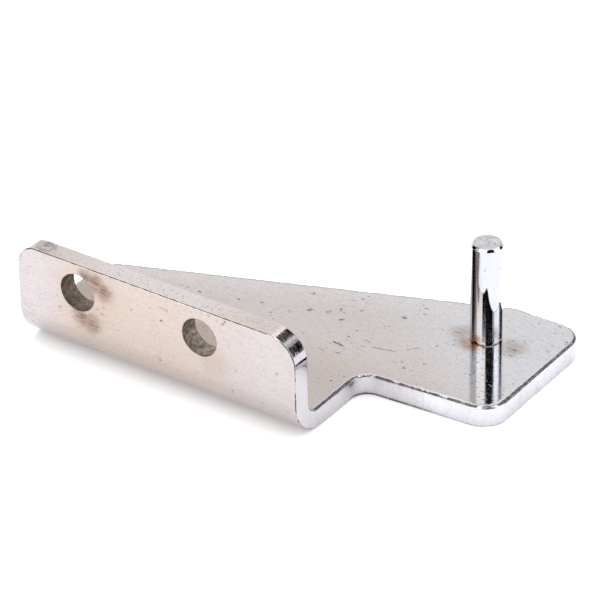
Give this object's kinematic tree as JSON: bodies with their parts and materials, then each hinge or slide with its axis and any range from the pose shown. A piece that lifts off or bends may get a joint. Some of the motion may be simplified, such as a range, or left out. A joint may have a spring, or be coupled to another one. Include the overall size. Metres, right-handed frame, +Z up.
{
  "type": "pivot pin bracket",
  "caption": "L-bent plated steel bracket: a screw flange and a flat arm that carries a fixed upright pin for a pivoting window sash, door or stay.",
  "frame": {"origin": "on the pin's axis, at the plate's upper face where the pivoting part rests", "axes": "+Z up along the pin to its free end, +X along the flange towards the arm, -Y out of the flange's screw face"},
  "size_m": [0.0929, 0.0572, 0.0257],
  "materials": {
    "satin_plating": "satin nickel plating over copper, fine brushed grain",
    "bright_plating": "bright plating"
  },
  "bodies": {
    "root": {"bracket_plate": "satin_plating", "pivot_pin": "bright_plating"}
  },
  "joints": []
}
